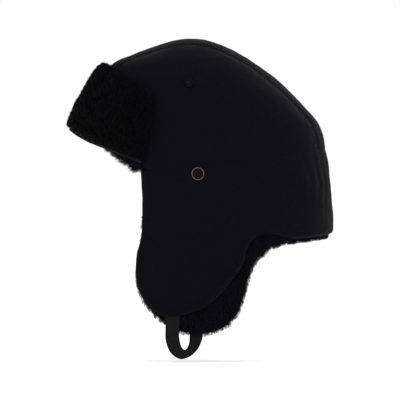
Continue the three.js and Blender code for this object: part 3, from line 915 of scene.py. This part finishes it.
def add_flap_backing(tables, segment):
    points, normals, _ = flap_grid(tables, segment, kind_of(segment)[2], np.linspace(1.0, 67, 30) * MM, 0.004)
    sheet = add_grid("front_flap_backing_cloth_" + segment, points + normals * 2.6 * MM)
    sheet.data.flip_normals()
    dress(thicken(sheet, 1.2 * MM), SHELL, "front_flap_" + segment, "shell_cloth",
          "front_flap_backing_" + segment)


def add_flap_fold_line(tables, segment):
    """The cloth edge that shows as a fold line along the foot of the fur, in the shell's twill painted
    lighter as a highlight.
    """
    points, _, where = flap_grid(tables, segment, kind_of(segment)[3], np.array([2 * MM]))
    points, normals = flap_at(tables, where, flap_low(ahead_of_temple(points), 0.8))
    out = np.minimum(flap_outset(points) * 0.86, 10.6 * MM) * flap_taper(where, 9)
    line = (points + normals * np.maximum(out, 2.2 * MM)[..., None])[:, 0]
    piece = tube("front_flap_fold_" + segment, line, 1.3 * MM, 10)
    dress(piece, FOLD_HIGHLIGHT_TWILL, "front_flap_" + segment, "shell_cloth")


def tube(name, line, radius, sides):
    """A closed round tube along a line of points."""
    along = unit(np.gradient(line, axis=0))
    out = unit(np.cross(along, (0.0, 0.0, 1.0)))
    turn = ring_of(sides)[:, None]
    ring = out[:, None] * np.cos(turn) + np.cross(out, along)[:, None] * np.sin(turn)
    return add_round(name, line[:, None] + ring * radius)


# ---- linings inside

def fur_top(x):
    return np.interp(x, np.array((-220, -75, -40, 220)) * MM, np.array((128, 46, 34, 28)) * MM)


def band_low(x):
    """The lower edge of the fur lining: the rim in front of the temples, the fold and the nape behind."""
    ahead = TEMPLE[0] - x
    rim = TEMPLE[2] + ahead * math.tan(RIM_ANGLE) - 1.2 * MM - 2.8 * MM * ease(ahead, 14)
    return np.where(x < EDGE_X, rim, np.interp(x, FUR_NAPE_X, FUR_NAPE_Z))


def add_fur_lining(rng):
    """The fur round the head inside, with its fringe along the rim and the nape."""
    edge = front_turn(EDGE_X, -30 * MM)
    turn = np.concatenate([np.linspace(-edge + 1e-3, edge - 1e-3, 201),
                           np.linspace(edge + 1e-3, 2 * math.pi - edge - 1e-3, 131)])
    low, high = crossing(turn, band_low), crossing(turn, fur_top, high=0.12)
    shares = np.concatenate([[0, 0.012, 0.035, 0.07], np.linspace(0.12, 0.9, 17), [0.94, 0.97, 0.99, 1.0]])
    thick = 0.5 * (1 - np.abs(2 * shares - 1) ** 9) ** (1 / 2.2)
    rows = np.concatenate([shares, shares[-2:0:-1]])[:, None]
    depth = np.concatenate([0.5 - thick, (0.5 + thick)[-2:0:-1]])[:, None]
    t = low + (high - low) * rows
    inset = 5.4 * MM + 6.4 * MM * depth + 0.7 * MM * tuft_noise(form(t, turn), 13 * MM)
    piece = add_grid("lining_pelt", form(t, turn, -inset), round_rows=True, round_columns=True)
    recalculate(piece)

    def weight(centres, directions):
        x, _, z = centres.T
        inward = -(directions * unit(centres * (1, 1.6, 0))).sum(1)
        low_edge = bell(z - band_low(x), 9) * 2.0
        front_edge = bell(x - EDGE_X, 4) * (z < TEMPLE[2]) * 2.5
        hem = np.where(x < EDGE_X, band_low(x), neck_low(x))
        outer = (inward < -0.45) & (z > hem + 5 * MM)
        return np.where(outer, 0.0, 0.55 + low_edge + front_edge)

    roots, normals = scatter(piece, 34000, rng, weight)
    x, _, z = roots.T
    at_temple = np.exp(-((roots - TEMPLE)[:, (0, 2)] ** 2).sum(1) / (26 * MM) ** 2)
    low_edge = bell(z - band_low(x), 8)
    ahead = x < -70 * MM
    outward = unit(roots * (1, 1, 0)) * 0.5 * low_edge[:, None]
    flow = unit(np.where(ahead[:, None], -RIM_UP, (0, 0, -1.0)) + outward)
    length = (5.8 + 1.2 * at_temple * ahead + (3.6 * ahead + 1.8 * (x > 60 * MM)) * low_edge) * MM
    hair = add_hair("lining_hair", roots, normals, flow, length, rng, EAR_HAIRS, droop=0.2)
    dress(piece, PELT, "crown", "fur", "fur_lining_band", fill=0.7)
    dress(hair, None, "crown", "fur")


def add_quilted_crown():
    """The lining above the fur, quilted in diamonds."""
    turn = ring_of(320)
    low = crossing(turn, lambda x: fur_top(x) - 3 * MM, high=0.12)
    t = low + (0.9995 - low) * np.linspace(0, 1, 110)[:, None] ** 0.92
    plain = form(t, turn)
    x, y, z = np.moveaxis(plain, -1, 0)
    diamond = 22 * MM
    a, b = (x + y) / diamond, (x - y + z * 0.6) / diamond
    from_seam = np.minimum(np.abs(a - np.round(a)), np.abs(b - np.round(b))) * diamond
    puff = 1.5 * MM * (1 - bell(from_seam, 4.5)) + 0.25 * MM * tuft_noise(plain, 6 * MM)
    piece = add_grid("crown_quilted_lining", form(t, turn, -(5.6 * MM + puff)), round_columns=True)
    dress(thicken(piece, 1.0 * MM, offset=1), LINING, "crown", "quilted_lining", "crown_lining", fill=0.4)


def add_label():
    """The blank label on the lining, with a stitched border."""
    low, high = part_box("blank_size_label")
    share, rows = np.linspace(-1, 1, 41), np.linspace(0, 1, 31)[:, None]
    t = t_at(low.z + (high.z - low.z) * rows)
    y = high.y * share
    turn = np.arcsin(np.clip(signed_power(y / section(t)[3], ROUNDNESS / 2), -1, 1))
    edge = np.minimum(1 - np.abs(share), np.minimum(rows, 1 - rows) * 2)
    inset = 8.2 * MM + 0.35 * MM * np.exp(-((edge - 0.1) / 0.04) ** 2) - 0.5 * MM * smooth_step(edge / 0.5)
    piece = add_grid("blank_label_patch", form(t, turn, -inset))
    dress(thicken(piece, 0.5 * MM), LABEL, "crown", "label", "blank_size_label")


def add_rim_binding():
    """The padded edge that closes shell and fur along the rim, in front of the temples."""
    back = front_turn(-68 * MM, -3 * MM)
    turn = np.linspace(2 * math.pi - back, back, 181)
    ring = ring_of(24)
    t = rim_crossing(turn, 2.4 * MM + 1.6 * MM * np.sin(ring), t_at(90 * MM))
    piece = add_round("rim_edge_binding", form(t, turn[:, None], 4.4 * MM * np.cos(ring) - 4.6 * MM))
    dress(piece, SHELL, "crown", "shell_cloth", "front_rim_binding")


# ---- stitches

STITCH_PITCH = 3.6 * MM
STITCH_HALF = 1.25 * MM
STITCH_RADIUS = 0.24 * MM
STITCH_SIDES = 6
STITCH_STATIONS = ((-1, 0.25, -0.5), (-0.6, 0.9, 0.25), (0, 1, 0.6), (0.6, 0.9, 0.25), (1, 0.25, -0.5))


def stitches(name, line, outward, body="crown"):
    """A row of thread stitches along a line on the cloth, each a small spindle sunk at its ends."""
    far = length_along(line)
    places = np.arange(STITCH_PITCH, far[-1] - STITCH_PITCH, STITCH_PITCH)
    centre, normal = at_lengths(line, far, places), unit(at_lengths(outward, far, places))
    along = unit(at_lengths(line, far, places + 0.5 * MM) - centre)
    turn = ring_of(STITCH_SIDES)[:, None]
    ring = np.cross(along, normal)[:, None] * np.cos(turn) + normal[:, None] * np.sin(turn)
    rings = [(centre + along * STITCH_HALF * share + normal * STITCH_RADIUS * rise)[:, None]
             + ring * STITCH_RADIUS * wide for share, wide, rise in STITCH_STATIONS]
    count = len(STITCH_STATIONS) * STITCH_SIDES
    caps = np.array([range(STITCH_SIDES - 1, -1, -1), range(count - STITCH_SIDES, count)])
    first = np.arange(len(places))[:, None, None] * count
    groups = [(faces + first).reshape(-1, faces.shape[1])
              for faces in (grid_faces(len(STITCH_STATIONS), STITCH_SIDES, round_columns=True), caps)]
    return dress(add_mesh(name, np.stack(rings, 1).reshape(-1, 3), groups), THREAD, body, "shell_cloth")


def seam_run(side, y):
    """A line over the crown at one distance from the middle, from the front rim to the back seam."""
    t = np.linspace(t_at(0.0), 0.9999, 1200)
    half = section(t)[3]
    t, half = t[half > y], half[half > y]
    turn = np.arcsin((y / half) ** (ROUNDNESS / 2))
    t, turn = np.concatenate([t, t[::-1]]), np.concatenate([math.pi - turn, turn[::-1]])
    points = form(t, turn)
    above = (above_rim(points) > 6 * MM) & (points[:, 2] > seam_height(points[:, 0]) + 4 * MM)
    return on_cloth(t[above], side * turn[above])


def add_stitching():
    turn = np.linspace(-2.0, 2.0, 900)
    for word, offset in (("neck", -3.4 * MM), ("crown", 3.4 * MM)):
        stitches(word + "_seam_stitches", *on_cloth(crossing(turn, lambda x: seam_height(x) + offset), turn))
    turn = np.linspace(-0.95, 0.95, 400)
    line, outward = on_cloth(crossing(turn, lambda x: neck_low(x) + 8 * MM), turn)
    keep = line[:, 0] > 68 * MM
    stitches("nape_hem_stitches", line[keep], outward[keep])
    for word, side in SIDES:
        for place, offset in (("panel", 3.3 * MM), ("strip", -3.3 * MM)):
            stitches(f"crown_{place}_stitches_{word}", *seam_run(side, STRIP_HALF + offset))
        away = outline_of(EAR_SHELL, 900) - EAR_CENTRE
        x, z = (EAR_CENTRE + away * (1 - 8.5 * MM / np.linalg.norm(away, axis=1, keepdims=True))).T
        keep = (z < FOLD - 12 * MM) & ~((x > 44 * MM) & (z > -88 * MM))
        t = t_at(z[keep])
        line, outward = on_cloth(t, turn_at(t, x[keep], side), 0.5 * MM)
        row = stitches("ear_flap_stitches_" + word, line, outward, body=None)
        bend_ear_cloth(row)


# ---- hardware

def rounded(corners, radius, steps=4):
    """A closed profile with its corners rounded."""
    corners = np.array(corners, float)
    made = []
    for before, corner, after in zip(np.roll(corners, 1, 0), corners, np.roll(corners, -1, 0)):
        a, b = before - corner, after - corner
        reach = min(radius, np.linalg.norm(a) * 0.45, np.linalg.norm(b) * 0.45)
        start, end = corner + unit(a) * reach, corner + unit(b) * reach
        for s in np.linspace(0, 1, steps):
            made.append((1 - s) ** 2 * start + 2 * s * (1 - s) * corner + s * s * end)
    return np.array(made)


def turned(name, profile, material, slot, side, node, *replaced):
    """Turns a profile of (radius, height) in mm, and sets it on the hat's side at a CAD node's middle."""
    radius, height = np.array(profile).T[:, :, None] * MM
    turn = ring_of(64)
    ring = np.stack(np.broadcast_arrays(radius * np.cos(turn), radius * np.sin(turn), height), -1)
    piece = weld(add_grid(name, ring, round_columns=True, round_rows=True))
    low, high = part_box(node)
    middle = (low + high) / 2
    t = t_at(np.array([middle.z]))
    surface, outward = on_cloth(t, turn_at(t, np.array([middle.x]), side))
    rotation = Vector((0, 0, 1)).rotation_difference(Vector(outward[0])).to_matrix().to_4x4()
    piece.data.transform(Matrix.Translation(Vector(surface[0])) @ rotation)
    dress(recalculate(piece), material, "crown", slot, *replaced)


def radius_of(node):
    low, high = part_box(node)
    return (high.x - low.x) / 2 / MM


def add_eyelets():
    """Each vent eyelet: a worn bright rim, a tarnished dish and a dark disc across its hole, painted as the
    shade in it.
    """
    outer = radius_of("vent_eyelet_left")
    rim = rounded([(outer - 1.1, 0.15), (outer - 0.1, 0.1), (outer - 0.15, 0.7), (outer - 0.6, 1.15),
                   (outer - 1.1, 0.75)], 0.25)
    dish = rounded([(2.7, -2.4), (outer - 0.9, 0.0), (outer - 0.85, 0.72), (outer - 1.9, 0.42), (3.7, 0.5),
                    (3.1, 0.1), (2.5, -1.2)], 0.3)
    # The disc across the hole, whose dark colour is painted shade.
    depth = [(0.0, 0.22), (1.5, 0.26), (3.3, 0.3), (3.4, -0.4), (0.0, -0.5)]
    for word, side in SIDES:
        node = "vent_eyelet_" + word
        turned("eyelet_rim_" + word, rim, WORN_BRASS, "antique_brass", side, node, node)
        turned("eyelet_dish_" + word, dish, DARK_BRASS, "antique_brass", side, node)
        turned("eyelet_hole_shade_" + word, depth, EYELET_HOLE_SHADE, "antique_brass", side, node)
        paint(frame["nodes"]["vent_eyelet_washer_" + word], DARK_BRASS)


def add_buttons():
    """Each loop button: a dished cap with a small metal pin in its middle."""
    outer = radius_of("loop_button_cap_left")
    cap = [(0, 0.2), (outer * 0.9, 0.2), (outer, 0.7), (outer * 0.97, 1.25), (outer * 0.86, 1.75),
           (outer * 0.74, 1.8), (outer * 0.66, 1.55), (outer * 0.5, 1.75), (outer * 0.25, 1.95), (0, 2.0)]
    pin = [(0, 1.3), (0.6, 1.3), (0.6, 2.05), (0.4, 2.25), (0, 2.3)]
    for word, side in SIDES:
        node = "loop_button_cap_" + word
        turned("loop_button_" + word, cap, BUTTON, "button", side, node, node)
        turned("loop_button_pin_" + word, pin, PIN, "antique_brass", side, node)
        paint(frame["nodes"]["loop_button_post_" + word], DARK_BRASS)


# ---- strap loops

# The loop's two edges below the flap, as Bezier halves of (across, up) in mm from the swing's pivot.
LOOP_OUTER = (((-21, -5), (-19.8, -16), (-14.5, -26), (-3, -28)),
              ((-3, -28), (9, -27), (19, -18), (21.2, -5)))
LOOP_INNER = (((-6.3, -5), (-5.9, -12), (-4.2, -21.3), (0.2, -21.4)),
              ((0.2, -21.4), (4.6, -21), (6.2, -12), (6.4, -5)))
LOOP_TWIST = math.radians(23)


def bezier(points, steps):
    s = np.linspace(0, 1, steps)[:, None]
    a, b, c, d = np.array(points, float)
    return (1 - s) ** 3 * a + 3 * s * (1 - s) ** 2 * b + 3 * s**2 * (1 - s) * c + s**3 * d


def add_strap(word, side):
    """One webbing strap, sewn in behind the flap's cloth, looped below it and sewn in behind its fur."""
    pivot = np.array(JOINT_PLACES[f"strap_loop_{word}_swing"])
    across = np.array((math.cos(LOOP_TWIST), -side * math.sin(LOOP_TWIST), 0))

    def sewn(x, z, depth):
        return wall(np.array(x) * MM, np.array(z) * MM, side, -np.array(depth) * MM)

    def strap_edge(down_x, halves, up_x):
        """One edge of the webbing: down in front of the fur, round the loop and up behind the fur."""
        down = sewn(down_x, (-151, -159, -167), (3.2, 3.0, 3.1))
        up = sewn(up_x, (-167, -159, -150), (13.6, 13.2, 12.9))
        flat = np.vstack([bezier(halves[0], 17), bezier(halves[1], 17)[1:]]) * MM
        loop = pivot + flat[:, :1] * across + flat[:, 1:] * np.array((0, 0, 1))
        return spline(np.vstack([down, loop, up]), np.linspace(0, 1, 230))

    outer = strap_edge((-43.5, -43.8, -44), LOOP_OUTER, (-4.9, -4.6, -4.4))
    inner = strap_edge((-28.6, -28.9, -29.4), LOOP_INNER, (-18.6, -18.4, -18))
    centre, width = (outer + inner) / 2, np.linalg.norm(inner - outer, axis=1)
    over = unit(inner - outer)
    face = unit(np.cross(over, unit(np.gradient(centre, axis=0))))
    ring = ring_of(40)
    wide, deep = signed_power(np.cos(ring), 2 / 7), signed_power(np.sin(ring), 2 / 3)
    rib = np.sin(length_along(centre) / (0.75 * MM) * math.pi)[:, None] * 0.07 * MM
    selvedge = 0.16 * MM * np.exp(-(((np.abs(wide) - 0.86) / 0.07) ** 2))
    proud = (0.72 * MM + rib + selvedge) * deep + 0.5 * MM * wide**2
    points = centre[:, None] + over[:, None] * (width[:, None] / 2 * wide)[..., None]
    piece = add_round("strap_loop_webbing_" + word, points + face[:, None] * proud[..., None])
    dress(piece, WEBBING, None, "webbing", "strap_loop_" + word, "strap_tab_outer_" + word,
          "strap_tab_inner_" + word)
    bend(piece)


# ---- studio

FLOOR_REACH = 30.0
CAMERA_DISTANCE = 7.0
VIEW_WIDTH = 0.42
SCALE_PLANE_Y = -0.02  # the upright plane in which the view is VIEW_WIDTH wide

# Each light: name, place, size and watts.
LIGHTS = (
    ("key", (-0.9, -1.1, 1.3), 1.2, 7),
    ("fill", (1.3, -0.9, 0.7), 1.5, 2.5),
    ("back", (0.6, 1.4, 1.2), 1.2, 4),
)


def add_studio():
    """A white studio: a pale floor just under the hat, even white light, three soft lamps and the camera."""
    scene = bpy.context.scene
    scene.view_settings.view_transform = "Standard"
    scene.world = bpy.data.worlds.new("studio")
    scene.world.use_nodes = True
    background = scene.world.node_tree.nodes["Background"]
    background.inputs[0].default_value = (1, 1, 1, 1)
    background.inputs[1].default_value = 1.0
    s = Shader("studio_floor")
    mottle = s.noise(0.4, 2.0)
    pale = s.finish(s.mix(mottle, (0.9, 0.9, 0.9), (0.94, 0.94, 0.94)), 0.9, s.bump(mottle, 0.1 * MM),
                    Specular_IOR_Level=0.1, Emission_Color=(1, 1, 1, 1), Emission_Strength=0.35)
    corners = np.array([(-1, -1, 0), (1, -1, 0), (1, 1, 0), (-1, 1, 0)]) * FLOOR_REACH
    floor = add_mesh("studio_floor", corners + (0, 0, CAD_BOX[0][2] - 4 * MM), [np.array([[0, 1, 2, 3]])])
    paint(floor, pale)
    for name, place, size, watts in LIGHTS:
        light = bpy.data.lights.new(name, "AREA")
        light.size = size
        light.energy = watts
        lamp = bpy.data.objects.new(name, light)
        lamp.location = place
        lamp.rotation_mode = "QUATERNION"
        lamp.rotation_quaternion = (Vector((0, 0, -0.02)) - Vector(place)).to_track_quat("-Z", "Y")
        scene.collection.objects.link(lamp)
    camera = bpy.data.cameras.new("camera")
    camera.sensor_width = 36
    camera.lens = camera.sensor_width * (CAMERA_DISTANCE + SCALE_PLANE_Y) / VIEW_WIDTH
    camera.clip_end = 100
    scene.camera = bpy.data.objects.new("camera", camera)
    scene.camera.location = (-0.00735, -CAMERA_DISTANCE, -0.0336)
    scene.camera.rotation_euler = (math.pi / 2, 0, 0)
    scene.collection.objects.link(scene.camera)


add_studio()
rng = np.random.default_rng(20595)
add_crown()
add_neck()
for word, side in SIDES:
    add_ear_flap(word, side, rng)
add_front_flap(rng)
add_fur_lining(rng)
add_quilted_crown()
add_label()
add_rim_binding()
add_stitching()
add_eyelets()
add_buttons()
paint(frame["nodes"]["neck_elastic"], ELASTIC)
for word, side in SIDES:
    add_strap(word, side)
